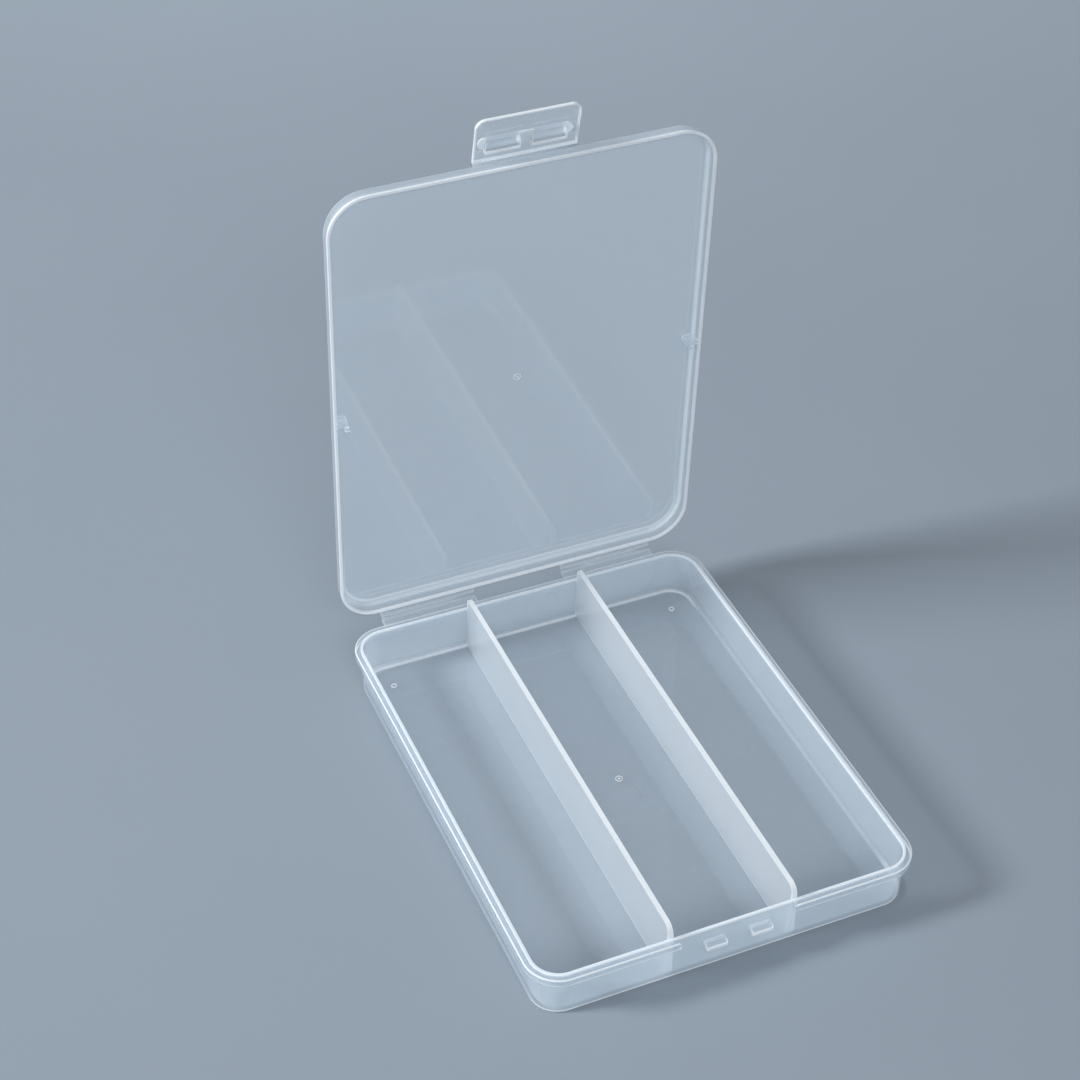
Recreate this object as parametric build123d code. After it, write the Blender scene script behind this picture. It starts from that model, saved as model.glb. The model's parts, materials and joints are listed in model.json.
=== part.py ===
from build123d import *
import os

# Multi-compartment storage box: a clear moulded tray with two dividers, a lid on two film hinges
# and a latch flap on a film hinge of its own. All sizes in millimetres, angles in degrees.
# X is the width, minus Y the front, plus Y the hinge side, Z up. The origin is the middle of the
# underside of the tray. The box is written in its rest pose, with the lid standing open.

# Tray
TRAY_WIDTH = 142.4
TRAY_LENGTH = 183.5
TRAY_HEIGHT = 19.6
TRAY_CORNER = 10.8
TRAY_DRAFT = 0.3
TRAY_WALL = 1.2
TRAY_FLOOR = 1.2
TRAY_FOOT_RADIUS = 1.0
TRAY_INSIDE_RADIUS = 1.0
TRAY_RIM_RADIUS = 0.3

# Band round the tray
FLANGE_REACH = 2.1
FLANGE_HEIGHT = 3.1
FLANGE_STEP = 0.4
FLANGE_GAP_X = 1.0
FLANGE_GAP_WIDTH = 42.8
FLANGE_EDGE_RADIUS = 0.4

# Lid, measured as if closed
LID_SIDE_REACH = 2.0
LID_BACK_REACH = 2.9
LID_FRONT_REACH = 2.6
LID_WIDTH = TRAY_WIDTH + 2 * LID_SIDE_REACH
LID_BACK = TRAY_LENGTH / 2 + LID_BACK_REACH
LID_FRONT = -TRAY_LENGTH / 2 - LID_FRONT_REACH
LID_LENGTH = LID_BACK - LID_FRONT
LID_DEPTH = 6.6
LID_WALL = 1.2
LID_DRAFT = 0.3
LID_CORNER = 15.0
LID_EDGE_RADIUS = 2.7
LID_INSIDE_RADIUS = 1.6
LID_RIM_Z = TRAY_HEIGHT
LID_TOP = LID_RIM_Z + LID_DEPTH
LID_OPEN_ANGLE = 88.39

# Ribs inside the long walls of the lid
CLIP_Y = 0.1
CLIP_THICKNESS = 2.0
CLIP_BLADE = 1.8
CLIP_DROP = 2.0
CLIP_NOTCH = 0.8
CLIP_GAP = 0.3

# Dividers
DIVIDER_X = 23.4
DIVIDER_TOP_THICKNESS = 1.7
DIVIDER_FOOT_THICKNESS = 2.8
DIVIDER_HEADROOM = 0.4
DIVIDER_TOP = LID_TOP - LID_WALL - DIVIDER_HEADROOM
DIVIDER_FRONT_RADIUS = 4.0
DIVIDER_BACK_RADIUS = 1.5

# Lid hinge
HINGE_BEHIND_LID = 3.05
HINGE_OVER_RIM = 0.2
HINGE_Y = LID_BACK + HINGE_BEHIND_LID
HINGE_Z = TRAY_HEIGHT + HINGE_OVER_RIM
HINGE_LENGTH = 38.7
HINGE_FROM_SIDE = 14.0
HINGE_X = TRAY_WIDTH / 2 - HINGE_FROM_SIDE - HINGE_LENGTH / 2
HINGE_LEAF = 1.1
HINGE_FOLD_GAP = 0.15
HINGE_FILM = 0.35
HINGE_FILM_HALF = 0.55

# Latch, with places along it measured from its fold line outwards
LATCH_X = 0.95
LATCH_LEAN = 10.5
LATCH_WIDTH = 38.9
LATCH_START = 0.2
LATCH_END = 18.4
LATCH_THICKNESS = 1.1
LATCH_CORNER = 3.5
LATCH_FILM = 0.35
LATCH_AHEAD_OF_LID = 0.25
LATCH_AXIS_Y = LID_FRONT - LATCH_AHEAD_OF_LID
LATCH_AXIS_Z = LID_TOP - LATCH_THICKNESS

# Half-round hoods on the outside of the latch
HOOD_PLACE = 7.1
HOOD_RADIUS = 2.3
HOOD_SHELL = 0.9
HOOD_CAP = 2.7

# Windows under the hoods and the catch recess that goes on from each
WINDOW_X = 8.65
WINDOW_WIDTH = 12.7
WINDOW_LIP = 1.2
WINDOW_START = HOOD_PLACE - HOOD_RADIUS - WINDOW_LIP
WINDOW_END = HOOD_PLACE + HOOD_RADIUS - HOOD_SHELL
RECESS_DEPTH = 0.75
RECESS_END = 12.7

# Lugs on the front wall
LUG_WIDTH = 8.0
LUG_THICKNESS = 1.8
LUG_PLAY = 0.2
LUG_BITE = 0.65
LUG_BOTTOM = LATCH_AXIS_Z - RECESS_END + LUG_PLAY
LUG_TOP = LUG_BOTTOM + LUG_THICKNESS
LUG_TIP_Y = LATCH_AXIS_Y - LUG_BITE
LUG_FLAT = 2.2
LUG_FALL = 0.8
LUG_TIP_RADIUS = 0.4

os.makedirs("parts", exist_ok=True)


def rounded_block(width, length, corner, bottom, top, inset_bottom=0.0, inset_top=0.0):
    """Upright block with rounded corners whose sides lean evenly from bottom to top."""
    faces = []
    for z, inset in ((bottom, inset_bottom), (top, inset_top)):
        outline = RectangleRounded(width - 2 * inset, length - 2 * inset, corner - inset)
        faces.append(Pos(0, 0, z) * outline)
    return loft(faces, ruled=True)


def level_edges(shape, z):
    """Edges that lie wholly at one height."""
    return [e for e in shape.edges() if abs(e.bounding_box().min.Z - z) < 1e-4
            and abs(e.bounding_box().max.Z - z) < 1e-4]


def side_profile(points):
    """Closed outline in the Y-Z plane."""
    return Face(Wire(Polyline([(0, y, z) for y, z in points], close=True).edges()))


def across(face, centre, width):
    """Y-Z outline drawn out along X to a width, centred on one X."""
    return Pos(centre - width / 2, 0, 0) * extrude(face, amount=width, dir=(1, 0, 0))


def wall_inset(z):
    """How far the outside of the tray has moved inwards at a height."""
    return TRAY_DRAFT * (TRAY_HEIGHT - z) / TRAY_HEIGHT


def tray_outside():
    block = rounded_block(TRAY_WIDTH, TRAY_LENGTH, TRAY_CORNER, 0, TRAY_HEIGHT, TRAY_DRAFT, 0)
    return fillet(level_edges(block, 0), TRAY_FOOT_RADIUS)


def tray_inside(top_extra=0.0):
    width = TRAY_WIDTH - 2 * TRAY_WALL
    length = TRAY_LENGTH - 2 * TRAY_WALL
    corner = TRAY_CORNER - TRAY_WALL
    block = rounded_block(width, length, corner, TRAY_FLOOR, TRAY_HEIGHT, wall_inset(TRAY_FLOOR), 0)
    block = fillet(level_edges(block, TRAY_FLOOR), TRAY_INSIDE_RADIUS)
    if top_extra:
        block += rounded_block(width, length, corner, TRAY_HEIGHT, TRAY_HEIGHT + top_extra)
    return block


def make_tray_shell():
    shell = tray_outside() - tray_inside()
    return fillet(level_edges(shell, TRAY_HEIGHT), TRAY_RIM_RADIUS)


def make_rim_flange():
    top = TRAY_HEIGHT - FLANGE_STEP
    bottom = top - FLANGE_HEIGHT
    band = rounded_block(TRAY_WIDTH + 2 * FLANGE_REACH, TRAY_LENGTH + 2 * FLANGE_REACH,
                         TRAY_CORNER + FLANGE_REACH, bottom, top)
    band = fillet(level_edges(band, top) + level_edges(band, bottom), FLANGE_EDGE_RADIUS)
    band -= rounded_block(TRAY_WIDTH, TRAY_LENGTH, TRAY_CORNER, 0, TRAY_HEIGHT, TRAY_DRAFT, 0)
    level = (top + bottom) / 2
    radius = FLANGE_HEIGHT / 2
    cut_width = FLANGE_GAP_WIDTH + 2 * radius
    cut = Pos(FLANGE_GAP_X, -TRAY_LENGTH / 2, level) * Box(cut_width, 12, FLANGE_HEIGHT + 2)
    for side in (-1, 1):
        x = FLANGE_GAP_X + side * cut_width / 2
        cut -= Pos(x, -TRAY_LENGTH / 2, level) * Rot(90, 0, 0) * Cylinder(radius, 12)
    return band - cut


def make_divider(sign):
    length = TRAY_LENGTH - 2 * TRAY_WALL
    wedge = loft([Pos(0, 0, 0) * Rectangle(DIVIDER_FOOT_THICKNESS, length),
                  Pos(0, 0, DIVIDER_TOP) * Rectangle(DIVIDER_TOP_THICKNESS, length)], ruled=True)
    top_edges = [e for e in level_edges(wedge, DIVIDER_TOP) if e.length < 5]
    wedge = fillet([e for e in top_edges if e.center().Y < 0], DIVIDER_FRONT_RADIUS)
    back = [e for e in level_edges(wedge, DIVIDER_TOP) if e.length < 5
            and e.center().Y > TRAY_LENGTH / 4]
    wedge = fillet(back, DIVIDER_BACK_RADIUS)
    wedge = Pos(sign * DIVIDER_X, 0, 0) * wedge
    return wedge & tray_inside(DIVIDER_TOP)


def make_latch_lug(sign):
    root = -TRAY_LENGTH / 2 + TRAY_WALL / 2 + TRAY_DRAFT
    flat_end = -TRAY_LENGTH / 2 + wall_inset(LUG_TOP) - LUG_FLAT
    points = [(root, LUG_BOTTOM), (LUG_TIP_Y, LUG_BOTTOM), (LUG_TIP_Y, LUG_TOP - LUG_FALL),
              (flat_end, LUG_TOP), (root, LUG_TOP)]
    lug = across(side_profile(points), LATCH_X + sign * WINDOW_X, LUG_WIDTH)
    lug = fillet([e for e in lug.edges() if abs(e.center().Y - LUG_TIP_Y) < 1e-3
                  and e.length < LUG_WIDTH - 0.1], LUG_TIP_RADIUS)
    return lug - tray_outside()


def make_tray_hinge_leaf(sign):
    top = HINGE_Z - HINGE_FOLD_GAP
    start = TRAY_LENGTH / 2 + FLANGE_REACH
    end = HINGE_Y - HINGE_FILM_HALF
    flange_top = TRAY_HEIGHT - FLANGE_STEP
    points = [(start - 1.0, flange_top - HINGE_LEAF), (end, top - HINGE_LEAF), (end, top),
              (start, flange_top), (start - 1.0, flange_top)]
    leaf = across(side_profile(points), sign * HINGE_X, HINGE_LENGTH)
    return leaf - make_rim_flange()


def closed_lid_outside():
    block = rounded_block(LID_WIDTH, LID_LENGTH, LID_CORNER, LID_RIM_Z, LID_TOP, 0, LID_DRAFT)
    block = fillet(level_edges(block, LID_TOP), LID_EDGE_RADIUS)
    return Pos(0, LID_BACK - LID_LENGTH / 2, 0) * block


def closed_lid_inside():
    top = LID_TOP - LID_WALL
    block = rounded_block(LID_WIDTH - 2 * LID_WALL, LID_LENGTH - 2 * LID_WALL, LID_CORNER - LID_WALL,
                          LID_RIM_Z, top, 0, LID_DRAFT)
    block = fillet(level_edges(block, top), LID_INSIDE_RADIUS)
    return Pos(0, LID_BACK - LID_LENGTH / 2, 0) * block


def make_lid_shell():
    shell = closed_lid_outside() - closed_lid_inside()
    return fillet(level_edges(shell, LID_RIM_Z), TRAY_RIM_RADIUS)


def make_lid_clip(sign):
    outer = LID_WIDTH / 2 - LID_WALL / 2
    blade_outer = TRAY_WIDTH / 2 - TRAY_WALL - CLIP_GAP
    blade_inner = blade_outer - CLIP_BLADE
    top = LID_TOP - LID_WALL / 2
    tip = LID_RIM_Z - CLIP_DROP
    notch = LID_RIM_Z + CLIP_NOTCH
    points = [(outer, top), (outer, notch), (blade_outer, notch), (blade_outer, tip + 0.5),
              (blade_outer - 0.6, tip), (blade_inner + 0.2, tip), (blade_inner - 0.6, top)]
    outline = Face(Wire(Polyline([(sign * x, 0, z) for x, z in points], close=True).edges()))
    clip = Pos(0, CLIP_Y - CLIP_THICKNESS / 2, 0) * extrude(outline, amount=CLIP_THICKNESS, dir=(0, 1, 0))
    return clip & closed_lid_inside_deep()


def closed_lid_inside_deep():
    """Space inside the lid carried down past its rim, to trim what hangs in it."""
    below = rounded_block(LID_WIDTH - 2 * LID_WALL, LID_LENGTH - 2 * LID_WALL, LID_CORNER - LID_WALL,
                          LID_RIM_Z - 5, LID_RIM_Z)
    return closed_lid_inside() + Pos(0, LID_BACK - LID_LENGTH / 2, 0) * below


def make_hinge_film(sign):
    """Quarter turn of thin web from the tray's leaf up to the lid's leaf."""
    start_y = HINGE_Y - HINGE_FILM_HALF
    outer = HINGE_FILM_HALF + HINGE_FOLD_GAP + HINGE_FILM
    inner = outer - HINGE_FILM
    centre_z = HINGE_Z - HINGE_FOLD_GAP + inner
    ring = Rot(0, 90, 0) * (Cylinder(outer, HINGE_LENGTH) - Cylinder(inner, HINGE_LENGTH))
    quarter = ring & Pos(0, outer / 2, -outer / 2) * Box(HINGE_LENGTH, outer, outer)
    rise = Pos(0, inner + HINGE_FILM / 2, 0.05) * Box(HINGE_LENGTH, HINGE_FILM, 0.1)
    film = Pos(sign * HINGE_X, start_y, centre_z) * (quarter + rise)
    return film - open_lid(make_lid_hinge_leaf(sign))


def make_latch_film():
    """Thin web from the lid's front edge to the latch, bent by the latch's lean."""
    level = LATCH_AXIS_Z + LATCH_FILM / 2
    inner = Pos(LATCH_X, LATCH_AXIS_Y + 1.5, level) * Box(LATCH_WIDTH, 3.0, LATCH_FILM)
    outer = latch_box(LATCH_X, LATCH_WIDTH, -0.1, LATCH_START + 0.1, 0, LATCH_FILM)
    outer = outer.rotate(Axis((0, LATCH_AXIS_Y, LATCH_AXIS_Z), (1, 0, 0)), LATCH_LEAN)
    film = open_lid(inner + outer)
    film -= open_lid(closed_lid_outside())
    return film - lean_latch(latch_box(LATCH_X, LATCH_WIDTH + 2, LATCH_START, LATCH_END, -1, 3))


def make_lid_hinge_leaf(sign):
    bottom = HINGE_Z + HINGE_FOLD_GAP
    end = HINGE_Y - HINGE_FILM_HALF
    root = LID_BACK - LID_WALL / 2
    points = [(root, bottom), (end, bottom), (end, bottom + HINGE_LEAF), (root, bottom + HINGE_LEAF)]
    leaf = across(side_profile(points), sign * HINGE_X, HINGE_LENGTH)
    return leaf - closed_lid_outside()


def open_lid(shape):
    """Turns something built on the closed lid to where the lid stands open."""
    return shape.rotate(Axis((0, HINGE_Y, HINGE_Z), (1, 0, 0)), -LID_OPEN_ANGLE)


def lean_latch(shape):
    """Turns something built on the flat latch to how the latch stands, and opens the lid with it."""
    leant = shape.rotate(Axis((0, LATCH_AXIS_Y, LATCH_AXIS_Z), (1, 0, 0)), LATCH_LEAN)
    return open_lid(leant)


def latch_box(centre_x, width, start, end, low, high):
    """Block on the flat latch: along it from the film outwards, and up from its inner face."""
    size = Box(width, end - start, high - low)
    return Pos(centre_x, LATCH_AXIS_Y - (start + end) / 2, LATCH_AXIS_Z + (low + high) / 2) * size


def make_latch_flap():
    plate = latch_box(LATCH_X, LATCH_WIDTH, LATCH_START, LATCH_END, 0, LATCH_THICKNESS)
    far = [e for e in plate.edges() if abs(e.center().Y - (LATCH_AXIS_Y - LATCH_END)) < 1e-3
           and abs(e.length - LATCH_THICKNESS) < 1e-3]
    plate = fillet(far, LATCH_CORNER)
    for sign in (-1, 1):
        centre = LATCH_X + sign * WINDOW_X
        plate -= latch_box(centre, WINDOW_WIDTH, WINDOW_START, WINDOW_END, -1, 3)
        plate -= latch_box(centre, WINDOW_WIDTH, WINDOW_START, RECESS_END, -1, RECESS_DEPTH)
    return plate


def half_round(radius, centre, width):
    """Half-round bar lying along X on the outer face of the flat latch."""
    place = Pos(centre, LATCH_AXIS_Y - HOOD_PLACE, LATCH_AXIS_Z + LATCH_THICKNESS)
    bar = Rot(0, 90, 0) * Cylinder(radius, width)
    return place * (bar & Pos(0, 0, radius) * Box(width, 3 * radius, 2 * radius))


def make_latch_hood(sign):
    """Hollow bar over a window, closed at its outer end by a solid cap with a rounded end."""
    straight = WINDOW_WIDTH + HOOD_CAP - HOOD_RADIUS
    inner_end = WINDOW_X - WINDOW_WIDTH / 2
    centre = LATCH_X + sign * (inner_end + straight / 2)
    hood = half_round(HOOD_RADIUS, centre, straight)
    place = Pos(LATCH_X + sign * (inner_end + straight), LATCH_AXIS_Y - HOOD_PLACE,
                LATCH_AXIS_Z + LATCH_THICKNESS)
    size = 2 * HOOD_RADIUS
    end = Sphere(HOOD_RADIUS) & Pos(sign * HOOD_RADIUS, 0, HOOD_RADIUS) * Box(size, size, size)
    hood += place * end
    return hood - half_round(HOOD_RADIUS - HOOD_SHELL, LATCH_X + sign * WINDOW_X, WINDOW_WIDTH)


def make_latch_bridge():
    """Solid stretch of the same bar, between the two windows."""
    return half_round(HOOD_RADIUS, LATCH_X, 2 * WINDOW_X - WINDOW_WIDTH)


def save(name, shape):
    solids = shape.solids()
    if len(solids) != 1:
        print(name, "has", len(solids), "solids")
    solid = solids[0]
    solid.label = name
    export_step(solid, "parts/" + name + ".step")


save("tray_shell", make_tray_shell())
save("rim_flange", make_rim_flange())
save("lid_shell", open_lid(make_lid_shell()))
for side, sign in (("left", -1), ("right", 1)):
    save("divider_" + side, make_divider(sign))
    save("latch_lug_" + side, make_latch_lug(sign))
    save("tray_hinge_leaf_" + side, make_tray_hinge_leaf(sign))
    save("lid_hinge_leaf_" + side, open_lid(make_lid_hinge_leaf(sign)))
    save("lid_clip_" + side, open_lid(make_lid_clip(sign)))
    save("latch_hood_" + side, lean_latch(make_latch_hood(sign)))
    save("hinge_film_" + side, make_hinge_film(sign))
save("latch_flap", lean_latch(make_latch_flap()))
save("latch_bridge", lean_latch(make_latch_bridge()))
save("latch_film", make_latch_film())
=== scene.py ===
import json
import math

import bmesh
import bpy
from mathutils import Matrix, Vector


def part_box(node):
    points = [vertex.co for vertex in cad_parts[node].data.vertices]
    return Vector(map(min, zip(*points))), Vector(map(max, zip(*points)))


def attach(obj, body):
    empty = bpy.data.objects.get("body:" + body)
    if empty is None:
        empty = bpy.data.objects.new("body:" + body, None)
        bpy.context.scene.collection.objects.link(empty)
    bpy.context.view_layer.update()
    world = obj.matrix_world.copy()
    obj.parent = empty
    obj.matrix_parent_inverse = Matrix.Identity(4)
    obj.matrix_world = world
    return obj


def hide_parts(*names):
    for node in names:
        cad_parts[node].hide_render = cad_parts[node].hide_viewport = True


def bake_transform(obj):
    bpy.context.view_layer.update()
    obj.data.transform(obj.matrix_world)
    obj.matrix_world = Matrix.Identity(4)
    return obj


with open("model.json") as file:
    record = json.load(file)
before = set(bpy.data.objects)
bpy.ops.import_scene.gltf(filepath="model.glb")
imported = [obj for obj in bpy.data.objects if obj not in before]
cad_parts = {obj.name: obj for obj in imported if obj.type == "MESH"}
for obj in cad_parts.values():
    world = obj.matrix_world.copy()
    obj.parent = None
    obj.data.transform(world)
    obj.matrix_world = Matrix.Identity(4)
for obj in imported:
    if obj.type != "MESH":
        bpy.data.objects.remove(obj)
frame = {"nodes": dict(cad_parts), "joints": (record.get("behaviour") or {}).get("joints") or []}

MM = 0.001

# Facts of the frame, in metres
JOINTS = {joint["name"]: joint for joint in frame["joints"]}
LID_PIVOT = Vector(JOINTS["lid_hinge"]["pos_m"])
LATCH_PIVOT = Vector(JOINTS["latch_hinge"]["pos_m"])
LID_OPEN = math.radians(max(JOINTS["lid_hinge"]["range_deg"]))
LATCH_LEAN = math.radians(-min(JOINTS["latch_hinge"]["range_deg"]))

# Outlines that the white haze follows, on the closed box
TRAY_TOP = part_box("tray_shell")[1].z
TRAY_HALF = (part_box("tray_shell")[1].x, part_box("tray_shell")[1].y)
TRAY_CORNER = 10.8 * MM
BAND_HALF = (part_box("rim_flange")[1].x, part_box("rim_flange")[1].y)
BAND_CORNER = 12.9 * MM
LID_HALF = (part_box("lid_shell")[1].x, 94.5 * MM)
LID_CORNER = 15.0 * MM
LID_MIDDLE_Y = 0.15 * MM
LID_TOP = TRAY_TOP + 6.6 * MM
FLOOR_TOP = 1.2 * MM
WALL = 1.2 * MM
DIVIDER_HALF_LENGTH = 90.55 * MM
DIVIDER_CORNER = 4.0 * MM

# The latch, with places along it measured from its fold line outwards
LATCH_X = 0.95 * MM
LATCH_HALF_WIDTH = 19.45 * MM
LATCH_START = 0.2 * MM
LATCH_END = 18.4 * MM
LATCH_CORNER = 3.5 * MM
WINDOW_X = 8.65 * MM
WINDOW_HALF_WIDTH = 6.35 * MM
WINDOW_START = 3.6 * MM
WINDOW_END = 8.5 * MM
WINDOW_CORNER = 0.05 * MM

# Film hinges
FILM_THICKNESS = 0.35 * MM
HINGE_FILM_RADIUS = 0.875 * MM
HINGE_FILM_STEPS = 12
LATCH_FILM_ON_LID = 1.1 * MM
LATCH_FILM_STEPS = 10

# Marks left by the mould: places on the tray's floor, then radius, width and height of each bead
PIN_PLACES = {
    "back_left": (-59.5 * MM, 78.7 * MM),
    "back_right": (59.5 * MM, 78.7 * MM),
    "front_left": (-59.5 * MM, -83.0 * MM),
    "front_right": (59.5 * MM, -83.0 * MM),
}
PIN_RING = (0.95 * MM, 0.6 * MM, 0.3 * MM)
GATE_RING = (1.3 * MM, 0.45 * MM, 0.2 * MM)
GATE_NUB = (0.25 * MM, 0.48 * MM, 0.3 * MM)

# Looks of the plastic
PLASTIC_IOR = 1.49
CLEAR_TINT = (0.80, 0.90, 0.98)
FROSTED_TINT = (0.85, 0.90, 0.94)
FILM_TINT = (0.82, 0.92, 1.0)
# Near-white of the mould marks, painted as a highlight for the glint on each bead
MARK_GLINT_TINT = (0.97, 0.99, 1.0)
# White of the haze, also the white of the painted highlight lines
HAZE_AND_HIGHLIGHT_WHITE = (0.94, 0.97, 0.99, 1.0)
GLOSS_COLOUR = (0.95, 0.97, 1.0, 1.0)

# The studio
BACKDROP_SIZE = 40.0
BACKDROP_HEIGHT = -0.2 * MM
BACKDROP_DARKER = (0.238, 0.280, 0.324, 1.0)
BACKDROP_LIGHTER = (0.244, 0.286, 0.330, 1.0)
SKY_COLOUR = (0.86, 0.92, 1.0, 1.0)
SKY_STRENGTH = 0.41

# Camera of the photograph
CAMERA_PLACE = Vector((-0.271878, -0.535816, 0.60866))
CAMERA_AZIMUTH = math.radians(-23.943)
CAMERA_ELEVATION = math.radians(39.448)
CAMERA_ROLL = math.radians(1.133)
CAMERA_LENS = 76.384
CAMERA_SENSOR = 36.0
CAMERA_CLIP_START = 0.01


class Graph:
    """Short ways to add shader nodes to one material."""

    def __init__(self, name):
        self.material = bpy.data.materials.new(name)
        self.material.use_nodes = True
        self.tree = self.material.node_tree
        self.tree.nodes.clear()
        self.output = self.tree.nodes.new("ShaderNodeOutputMaterial")

    def node(self, kind, inputs=None, **settings):
        """Adds a node. Each input is a number or colour, or the socket that feeds it."""
        made = self.tree.nodes.new(kind)
        for key, value in settings.items():
            setattr(made, key, value)
        for key, value in (inputs or {}).items():
            self.put(value, made.inputs[key])
        return made

    def put(self, value, socket):
        if isinstance(value, bpy.types.NodeSocket):
            self.tree.links.new(value, socket)
        else:
            socket.default_value = value

    def surface(self, shader):
        self.put(shader.outputs[0], self.output.inputs["Surface"])
        return self.material

    def math(self, operation, *values):
        made = self.node("ShaderNodeMath", dict(enumerate(values)), operation=operation)
        return made.outputs[0]

    def most(self, *values):
        result = values[0]
        for value in values[1:]:
            result = self.math("MAXIMUM", result, value)
        return result

    def product(self, *values):
        result = values[0]
        for value in values[1:]:
            result = self.math("MULTIPLY", result, value)
        return result

    def ramp(self, value, start, end, at_start=0.0, at_end=1.0):
        """Smooth step from at_start, where the value is start, to at_end, where it is end."""
        made = self.node("ShaderNodeMapRange", interpolation_type="SMOOTHSTEP")
        for key, given in (("Value", value), ("From Min", start), ("From Max", end),
                           ("To Min", at_start), ("To Max", at_end)):
            self.put(given, made.inputs[key])
        return made.outputs["Result"]

    def line(self, value, middle, half_width):
        """One where the value is near the middle, fading to nothing at half a width from it."""
        away = self.math("ABSOLUTE", self.math("SUBTRACT", value, middle))
        return self.ramp(away, half_width, 0.35 * half_width)

    def noise(self, place, scale, detail):
        made = self.node("ShaderNodeTexNoise", {"Vector": place, "Scale": scale, "Detail": detail})
        return made.outputs["Fac"]

    def mixed_colour(self, amount, first, second):
        made = self.node("ShaderNodeMix", {"Factor": amount, 6: first, 7: second}, data_type="RGBA")
        return made.outputs[2]

    def mixed_shader(self, amount, first, second):
        sockets = {0: amount, 1: first.outputs[0], 2: second.outputs[0]}
        return self.node("ShaderNodeMixShader", sockets)

    def place(self):
        """Position on the part, in the pose of the photograph."""
        return self.node("ShaderNodeTexCoord").outputs["Object"]

    def turned_place(self, angle, pivot):
        """Position on the part once it has turned about a pivot along X."""
        turn = Matrix.Rotation(angle, 3, "X")
        made = self.node("ShaderNodeMapping", {
            "Vector": self.place(), "Rotation": (angle, 0, 0), "Location": pivot - turn @ pivot})
        return made.outputs["Vector"]

    def split(self, vector):
        made = self.node("ShaderNodeSeparateXYZ", {"Vector": vector})
        return made.outputs["X"], made.outputs["Y"], made.outputs["Z"]

    def outline(self, x, y, half, corner, middle_y=0.0):
        """Signed distance outwards from a rectangle with rounded corners."""
        y = self.math("SUBTRACT", y, middle_y)
        across = self.math("SUBTRACT", self.math("ABSOLUTE", x), half[0] - corner)
        along = self.math("SUBTRACT", self.math("ABSOLUTE", y), half[1] - corner)
        outer_x = self.math("MAXIMUM", across, 0.0)
        outer_y = self.math("MAXIMUM", along, 0.0)
        square = self.math("ADD", self.product(outer_x, outer_x), self.product(outer_y, outer_y))
        inner = self.math("MINIMUM", self.most(across, along), 0.0)
        reach = self.math("ADD", self.math("SQRT", square), inner)
        return self.math("SUBTRACT", reach, corner)


def moulded(graph, place, veil, haze_and_highlight=None, haze_veil=0.7, roughness=0.06, through=0.4, tint=CLEAR_TINT):
    """Clear, slightly milky polypropylene with gloss.

    veil is how much of the light the surface scatters. haze_and_highlight is one where the wall is seen
    end on or thick, and where highlights are painted on, which adds haze_veil and turns it white.
    through is the part of the scattered light that goes on to the far side.
    """
    cloud = graph.ramp(graph.noise(place, 38.0, 2.0), 0.3, 0.7, at_start=0.97, at_end=1.03)
    level = graph.product(cloud, veil)
    colour = (*tint, 1.0)
    if haze_and_highlight is not None:
        level = graph.math("ADD", level, graph.product(haze_and_highlight, haze_veil))
        colour = graph.mixed_colour(haze_and_highlight, colour, HAZE_AND_HIGHLIGHT_WHITE)
    level = graph.math("MINIMUM", level, 0.96)

    milk = graph.node("ShaderNodeBsdfPrincipled", {
        "Base Color": colour, "Roughness": 0.5, "IOR": PLASTIC_IOR, "Specular IOR Level": 0.0})
    glow = graph.node("ShaderNodeBsdfTranslucent", {"Color": colour})
    body = graph.mixed_shader(through, milk, glow)
    veiled = graph.mixed_shader(level, graph.node("ShaderNodeBsdfTransparent"), body)

    bump = graph.node("ShaderNodeBump", {
        "Height": graph.noise(place, 700.0, 2.0), "Strength": 0.002, "Distance": 0.1 * MM})
    normal = bump.outputs["Normal"]
    uneven = graph.ramp(graph.noise(place, 160.0, 3.0), 0.3, 0.7, at_start=0.95, at_end=1.05)
    shine = graph.node("ShaderNodeBsdfAnisotropic", {
        "Color": GLOSS_COLOUR, "Roughness": graph.product(uneven, roughness), "Normal": normal})

    # The outer skin shines for both faces of the wall
    one_face = graph.node("ShaderNodeFresnel", {"IOR": PLASTIC_IOR, "Normal": normal}).outputs[0]
    both_faces = graph.math("MINIMUM", graph.product(one_face, 1.8), 0.95)
    backfacing = graph.node("ShaderNodeNewGeometry").outputs["Backfacing"]
    gloss = graph.product(both_faces, graph.math("SUBTRACT", 1.0, backfacing))
    return graph.surface(graph.mixed_shader(gloss, veiled, shine))


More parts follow.
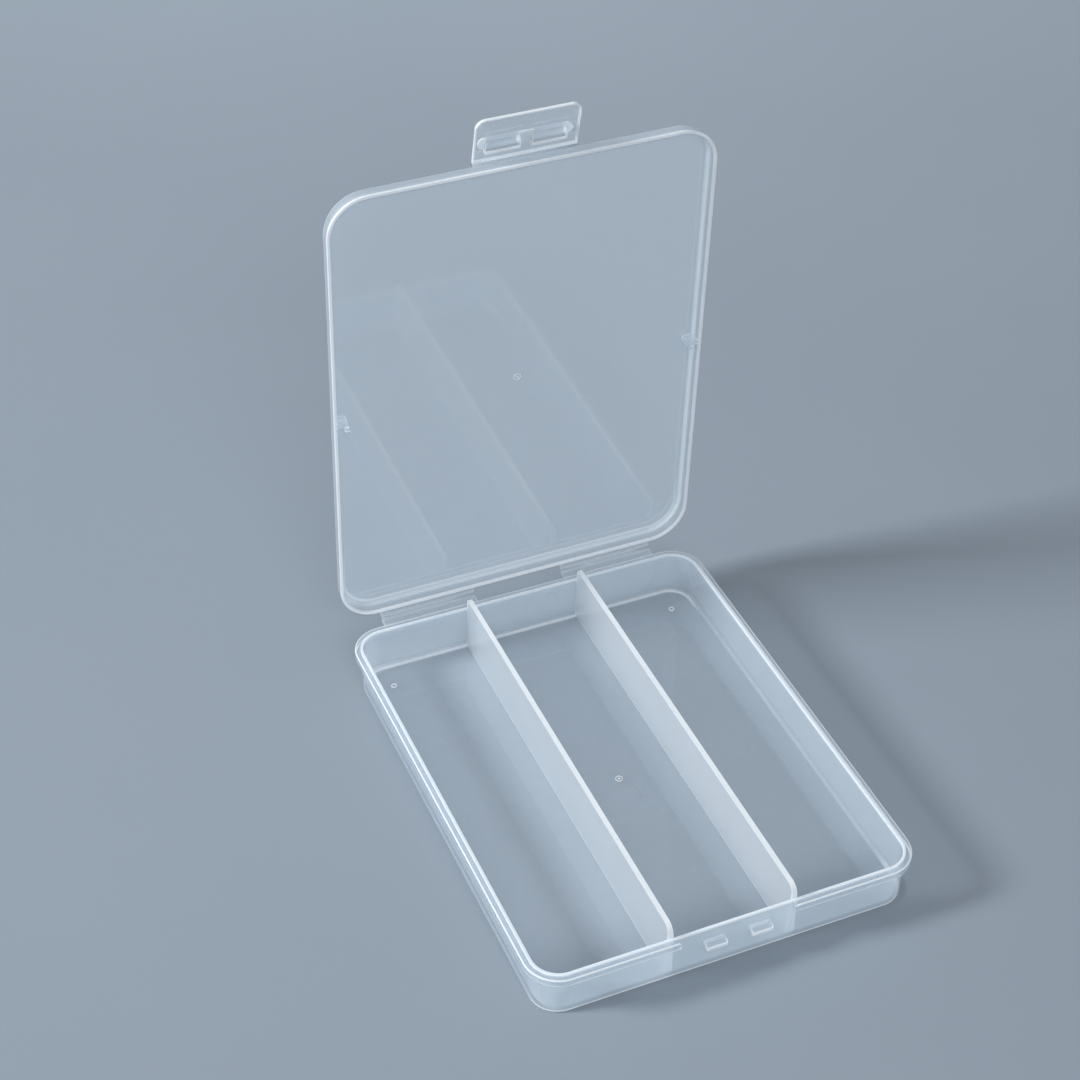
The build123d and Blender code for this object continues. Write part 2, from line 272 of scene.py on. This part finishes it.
def tray_plastic():
    """White at the rim and on the foot's outer edge, with the foot's line painted brighter at the front
    and the left as a highlight, and a painted highlight line along the back of the floor where the wall
    meets it.
    """
    graph = Graph("tray_plastic")
    place = graph.place()
    x, y, z = graph.split(place)
    reach = graph.outline(x, y, TRAY_HALF, TRAY_CORNER)
    rim = graph.ramp(z, TRAY_TOP - 1.1 * MM, TRAY_TOP - 0.4 * MM, at_end=0.78)

    outer_skin = graph.ramp(reach, -1.7 * MM, -1.2 * MM)
    # The foot's white line is haze of the thick wall, painted brighter at the front and the left as a
    # highlight where the lamps catch it
    front = graph.ramp(y, -60.0 * MM, -86.0 * MM)
    left = graph.ramp(x, -40.0 * MM, -68.0 * MM, at_start=0.12, at_end=0.6)
    foot = graph.product(graph.ramp(z, 1.55 * MM, 1.1 * MM), outer_skin, graph.most(front, left))

    # Painted highlight: a thin white line along the back of the floor where it meets the wall
    along_wall = graph.line(reach, middle=-2.3 * MM, half_width=0.9 * MM)
    along_floor = graph.line(z, middle=1.4 * MM, half_width=0.9 * MM)
    back = graph.ramp(y, 70.0 * MM, 87.0 * MM, at_end=0.9)
    crease_highlight = graph.product(along_wall, along_floor, back)

    floor_or_wall = graph.ramp(z, 1.5 * MM, 4.0 * MM, at_start=0.265, at_end=0.30)
    front_wall = graph.ramp(y, -86.0 * MM, -91.0 * MM, at_end=0.11)
    veil = graph.math("ADD", floor_or_wall, front_wall)
    roughness = graph.ramp(reach, -4.0 * MM, -1.5 * MM, at_start=0.1, at_end=0.2)
    return moulded(graph, place, veil, graph.most(rim, foot, crease_highlight), 0.72, roughness)


def band_plastic():
    """White along the band's two outer edges."""
    graph = Graph("band_plastic")
    place = graph.place()
    x, y, z = graph.split(place)
    reach = graph.outline(x, y, BAND_HALF, BAND_CORNER)
    low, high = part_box("rim_flange")
    outer_skin = graph.ramp(reach, -0.75 * MM, -0.3 * MM)
    top = graph.ramp(z, high.z - 0.65 * MM, high.z - 0.25 * MM)
    bottom = graph.ramp(z, low.z + 0.75 * MM, low.z + 0.3 * MM)
    return moulded(graph, place, 0.2, graph.product(graph.most(top, bottom), outer_skin), 0.7)


def lid_plastic():
    """White at the lid's open rim and round its top edge, with a painted highlight line along the inside
    of its hinge side.
    """
    graph = Graph("lid_plastic")
    place = graph.turned_place(LID_OPEN, LID_PIVOT)
    x, y, z = graph.split(place)
    reach = graph.outline(x, y, LID_HALF, LID_CORNER, LID_MIDDLE_Y)
    rim = graph.ramp(z, TRAY_TOP + 1.3 * MM, TRAY_TOP + 0.6 * MM)

    outer_skin = graph.ramp(reach, -2.0 * MM, -0.8 * MM)
    near_top = graph.ramp(z, LID_TOP - 2.6 * MM, LID_TOP - 1.3 * MM)
    edge = graph.product(outer_skin, near_top, 0.6)

    # Painted highlight: a thin white line along the inner corner of the hinge side, fading away from it
    along_wall = graph.line(reach, middle=-3.0 * MM, half_width=0.9 * MM)
    inner_face = graph.ramp(z, LID_TOP - 0.8 * MM, LID_TOP - 1.1 * MM)
    back = graph.ramp(y, 60.0 * MM, 92.0 * MM, at_end=0.7)
    crease_highlight = graph.product(along_wall, inner_face, back)

    roughness = graph.ramp(reach, -3.0 * MM, -1.5 * MM, at_start=0.06, at_end=0.3)
    return moulded(graph, place, 0.245, graph.most(rim, edge, crease_highlight), 0.70, roughness)


def divider_plastic():
    """Frosted, and white along its top, at its ends and faintly at its foot."""
    graph = Graph("divider_plastic")
    place = graph.place()
    x, y, z = graph.split(place)
    half_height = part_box("divider_left")[1].z / 2
    reach = graph.outline(y, z, (DIVIDER_HALF_LENGTH, half_height), DIVIDER_CORNER, half_height)
    above_foot = graph.ramp(z, 4.0 * MM, 7.0 * MM)
    crest = graph.product(graph.ramp(reach, -0.75 * MM, -0.25 * MM), above_foot)
    from_middle = graph.math("ABSOLUTE", y)
    end = graph.ramp(from_middle, DIVIDER_HALF_LENGTH - 1.0 * MM, DIVIDER_HALF_LENGTH - 0.4 * MM)
    foot = graph.ramp(z, 2.2 * MM, 1.3 * MM, at_end=0.4)
    lines = graph.most(crest, end, foot)
    return moulded(graph, place, 0.36, lines, 0.52, roughness=0.42, tint=FROSTED_TINT)


def plain_plastic(name, veil, tint):
    graph = Graph(name)
    return moulded(graph, graph.place(), veil, roughness=0.25, tint=tint)


def edged_plastic(node, veil, line_width, line_veil, axes):
    """Small clear detail with fine white lines.

    With two axes they run where the piece ends along either, and with three along all its edges.
    """
    graph = Graph(node + "_plastic")
    place = graph.place()
    spots = graph.split(place)
    low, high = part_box(node)
    lines = []
    for axis in axes:
        middle = (low[axis] + high[axis]) / 2
        half = (high[axis] - low[axis]) / 2
        from_middle = graph.math("ABSOLUTE", graph.math("SUBTRACT", spots[axis], middle))
        lines.append(graph.ramp(from_middle, half - line_width, half - 0.4 * line_width))
    if len(axes) == 3:
        pairs = ((0, 1), (0, 2), (1, 2))
        lines = [graph.math("MINIMUM", lines[first], lines[second]) for first, second in pairs]
    return moulded(graph, place, veil, graph.most(*lines), line_veil, roughness=0.3)


def latch_places(graph):
    """Place across the latch from its middle, and along it from its fold line."""
    x, y, z = graph.split(graph.turned_place(LID_OPEN - LATCH_LEAN, LATCH_PIVOT))
    return graph.math("SUBTRACT", x, LATCH_X), graph.math("SUBTRACT", LATCH_PIVOT.y, y)


def flap_plastic():
    """White round the flap's outline, along its fold and round its windows."""
    graph = Graph("flap_plastic")
    across, along = latch_places(graph)

    # The outline goes on past the fold, so that it has no rounded corners there
    past_fold = LATCH_START - 5.0 * MM
    half = (LATCH_HALF_WIDTH, (LATCH_END - past_fold) / 2)
    reach = graph.outline(across, along, half, LATCH_CORNER, (past_fold + LATCH_END) / 2)
    edge = graph.ramp(reach, -0.7 * MM, -0.3 * MM)
    fold = graph.ramp(along, LATCH_START + 0.7 * MM, LATCH_START + 0.3 * MM)

    from_window = graph.math("SUBTRACT", graph.math("ABSOLUTE", across), WINDOW_X)
    half = (WINDOW_HALF_WIDTH, (WINDOW_END - WINDOW_START) / 2)
    reach = graph.outline(from_window, along, half, WINDOW_CORNER, (WINDOW_END + WINDOW_START) / 2)
    window = graph.product(graph.line(reach, middle=0.0, half_width=0.55 * MM),
                           graph.ramp(along, WINDOW_END + 0.2 * MM, WINDOW_END - 1.5 * MM))
    return moulded(graph, graph.place(), 0.2, graph.most(edge, fold, window), 0.72)


def hood_plastic():
    """White at the bars' outer ends and on the middle block."""
    graph = Graph("hood_plastic")
    out = graph.math("ABSOLUTE", latch_places(graph)[0])
    cap = graph.ramp(out, 14.5 * MM, 15.0 * MM)
    block = graph.ramp(out, 3.1 * MM, 2.7 * MM)
    return moulded(graph, graph.place(), 0.25, graph.most(cap, block), 0.6, roughness=0.25, through=0.25)


def dress(node, material):
    """Gives a carried-over node its material."""
    target = frame["nodes"][node]
    target.data.materials.clear()
    target.data.materials.append(material)


def mesh_piece(name, build, material):
    """New mesh object from a function that fills a bmesh."""
    mesh = bpy.data.meshes.new(name)
    work = bmesh.new()
    build(work)
    bmesh.ops.recalc_face_normals(work, faces=work.faces)
    work.to_mesh(mesh)
    work.free()
    piece = bpy.data.objects.new(name, mesh)
    bpy.context.scene.collection.objects.link(piece)
    mesh.materials.append(material)
    for face in mesh.polygons:
        face.use_smooth = True
    return piece


def film_web(work, x_low, x_high, line):
    """Web of the film's thickness drawn along X, following a line of (y, z) points."""
    rings = []
    for index, point in enumerate(line):
        before = line[max(index - 1, 0)]
        after = line[min(index + 1, len(line) - 1)]
        along = (after - before).normalized()
        lift = Vector((-along.y, along.x)) * FILM_THICKNESS / 2
        upper = point + lift
        lower = point - lift
        corners = ((x_low, upper), (x_high, upper), (x_high, lower), (x_low, lower))
        rings.append([work.verts.new((x, *spot)) for x, spot in corners])
    for first, second in zip(rings, rings[1:]):
        for k in range(4):
            after = (k + 1) % 4
            work.faces.new((first[k], first[after], second[after], second[k]))
    work.faces.new(rings[0])
    work.faces.new(rings[-1])


def hinge_film(side, material):
    """Thin web from the tray's leaf up to the lid's leaf, drawn in the bend it has with the lid open."""
    node = "hinge_film_" + side
    low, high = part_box(node)
    centre = Vector((low.y, low.z + HINGE_FILM_RADIUS + FILM_THICKNESS / 2))
    line = []
    for step in range(HINGE_FILM_STEPS + 1):
        turn = math.radians(-90 + 90 * step / HINGE_FILM_STEPS)
        line.append(centre + HINGE_FILM_RADIUS * Vector((math.cos(turn), math.sin(turn))))
    piece = mesh_piece("film_" + side, lambda work: film_web(work, low.x, high.x, line), material)
    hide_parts(node)
    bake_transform(piece)


def latch_film(material):
    """Thin web from the lid's front edge to the latch, drawn in the bend it has at the latch's lean."""
    low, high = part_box("latch_film")
    turned = LID_OPEN - LATCH_LEAN
    along_lid = Vector((-math.cos(LID_OPEN), math.sin(LID_OPEN)))
    along_latch = Vector((-math.cos(turned), math.sin(turned)))
    lift_lid = Vector((along_lid.y, -along_lid.x)) * FILM_THICKNESS / 2
    lift_latch = Vector((along_latch.y, -along_latch.x)) * FILM_THICKNESS / 2
    pivot = Vector((LATCH_PIVOT.y, LATCH_PIVOT.z))
    start = pivot - along_lid * LATCH_FILM_ON_LID + lift_lid
    middle = pivot + (lift_lid + lift_latch) / 2
    end = pivot + along_latch * LATCH_START + lift_latch
    line = []
    for step in range(LATCH_FILM_STEPS + 1):
        t = step / LATCH_FILM_STEPS
        line.append(start * (1 - t) ** 2 + middle * 2 * t * (1 - t) + end * t ** 2)
    piece = mesh_piece("film_latch", lambda work: film_web(work, low.x, high.x, line), material)
    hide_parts("latch_film")
    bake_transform(piece)


def bead(work, centre, radius, width, height):
    """Low bead in a ring, half round in section, standing on a floor."""
    around = 40
    over = 8
    loops = []
    for k in range(around):
        turn = 2 * math.pi * k / around
        loop = []
        for j in range(over + 1):
            lift = math.pi * j / over
            spread = radius + width / 2 * math.cos(lift)
            spot = (spread * math.cos(turn), spread * math.sin(turn), height * math.sin(lift))
            loop.append(work.verts.new(Vector(centre) + Vector(spot)))
        loops.append(loop)
    for first, second in zip(loops, loops[1:] + loops[:1]):
        for j in range(over):
            work.faces.new((first[j], first[j + 1], second[j + 1], second[j]))
        work.faces.new((first[over], first[0], second[0], second[over]))


def gate_mark(work, centre):
    """Ring round a small nub, where the plastic ran into the mould."""
    bead(work, centre, *GATE_RING)
    bead(work, centre, *GATE_NUB)


def floor_marks(material):
    """Pin marks near the corners of the tray's floor and the gate mark in its middle."""
    for name, (x, y) in PIN_PLACES.items():
        centre = (x, y, FLOOR_TOP)
        piece = mesh_piece("pin_mark_" + name, lambda work: bead(work, centre, *PIN_RING), material)
        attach(piece, "tray")
    piece = mesh_piece("gate_mark_tray", lambda work: gate_mark(work, (0, 0, FLOOR_TOP)), material)
    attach(piece, "tray")


def lid_mark(material):
    """Gate mark in the middle of the lid, on its inner face."""
    opened = Matrix.Rotation(-LID_OPEN, 4, "X")
    flipped = Matrix.Rotation(math.pi, 4, "X")
    under_top = Matrix.Translation((0, LID_MIDDLE_Y, LID_TOP - WALL))
    place = Matrix.Translation(LID_PIVOT) @ opened @ Matrix.Translation(-LID_PIVOT)

    def build(work):
        gate_mark(work, (0, 0, 0))
        bmesh.ops.transform(work, matrix=place @ under_top @ flipped, verts=work.verts)

    piece = mesh_piece("gate_mark_lid", build, material)
    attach(piece, "lid")


def stage():
    """Plain paper with the faintest unevenness."""
    graph = Graph("backdrop")
    speck = graph.ramp(graph.noise(graph.place(), 6.0, 3.0), 0.3, 0.7)
    paper = graph.node("ShaderNodeBsdfPrincipled", {
        "Base Color": graph.mixed_colour(speck, BACKDROP_DARKER, BACKDROP_LIGHTER),
        "Roughness": 0.6, "Specular IOR Level": 0.25})
    bpy.ops.mesh.primitive_plane_add(size=BACKDROP_SIZE, location=(0, 0, BACKDROP_HEIGHT))
    floor = bpy.context.object
    floor.name = "backdrop"
    floor.data.materials.append(graph.surface(paper))


def aimed_light(name, place, target, size, power, spread, mirrored):
    """Square studio light. One that isn't mirrored lights the plastic but leaves no patch in it."""
    data = bpy.data.lights.new(name, "AREA")
    data.shape = "SQUARE"
    data.size = size
    data.energy = power
    data.spread = math.radians(spread)
    light = bpy.data.objects.new(name, data)
    light.location = place
    light.rotation_euler = (Vector(target) - Vector(place)).to_track_quat("-Z", "Y").to_euler()
    light.visible_glossy = mirrored
    bpy.context.scene.collection.objects.link(light)


def lights():
    world = bpy.data.worlds.new("studio")
    bpy.context.scene.world = world
    world.use_nodes = True
    background = world.node_tree.nodes["Background"]
    background.inputs["Color"].default_value = SKY_COLOUR
    background.inputs["Strength"].default_value = SKY_STRENGTH
    aimed_light("key", place=(-2.27, 0.54, 1.31), target=(0.19, 0.17, 0.0),
                size=0.55, power=9.4, spread=60.0, mirrored=False)
    aimed_light("back", place=(-0.96, 1.53, 1.5), target=(0.8, 1.4, 0.0),
                size=0.9, power=13.0, spread=64.0, mirrored=True)
    aimed_light("front", place=(-0.35, -1.6, 1.2), target=(-0.1, -0.15, 0.0),
                size=0.8, power=2.5, spread=60.0, mirrored=False)


def camera():
    level = math.cos(CAMERA_ELEVATION)
    forward = Vector((-math.sin(CAMERA_AZIMUTH) * level, math.cos(CAMERA_AZIMUTH) * level,
                      -math.sin(CAMERA_ELEVATION)))
    right = forward.cross(Vector((0, 0, 1))).normalized()
    up = right.cross(forward)
    turned_right = right * math.cos(CAMERA_ROLL) + up * math.sin(CAMERA_ROLL)
    turned_up = up * math.cos(CAMERA_ROLL) - right * math.sin(CAMERA_ROLL)
    data = bpy.data.cameras.new("camera")
    data.lens = CAMERA_LENS
    data.sensor_width = CAMERA_SENSOR
    data.clip_start = CAMERA_CLIP_START
    made = bpy.data.objects.new("camera", data)
    made.matrix_world = Matrix.LocRotScale(
        CAMERA_PLACE, Matrix((turned_right, turned_up, -forward)).transposed(), None)
    bpy.context.scene.collection.objects.link(made)
    bpy.context.scene.camera = made


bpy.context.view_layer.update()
bpy.context.scene.view_settings.view_transform = "Standard"

# The rigid CAD pieces get their plastic
dress("tray_shell", tray_plastic())
dress("rim_flange", band_plastic())
dress("lid_shell", lid_plastic())
dress("latch_flap", flap_plastic())
frosted = divider_plastic()
hood = hood_plastic()
dress("latch_bridge", hood)
for side in ("left", "right"):
    dress("divider_" + side, frosted)
    dress("latch_hood_" + side, hood)
    for stem, veil, line_width, line_veil, axes in (
            ("latch_lug_", 0.25, 0.55 * MM, 0.6, (0, 1)),
            ("tray_hinge_leaf_", 0.15, 0.5 * MM, 0.25, (0, 1)),
            ("lid_hinge_leaf_", 0.15, 0.5 * MM, 0.25, (0, 2)),
            ("lid_clip_", 0.25, 0.7 * MM, 0.6, (0, 1, 2))):
        dress(stem + side, edged_plastic(stem + side, veil, line_width, line_veil, axes))

# The films and the marks are built here
film = plain_plastic("film_plastic", 0.25, FILM_TINT)
# The mould marks are real beads, painted near-opaque white as a highlight for their glint
marks = plain_plastic("mark_glint_plastic", 0.96, MARK_GLINT_TINT)
hinge_film("left", film)
hinge_film("right", film)
latch_film(film)
floor_marks(marks)
lid_mark(marks)

stage()
lights()
camera()
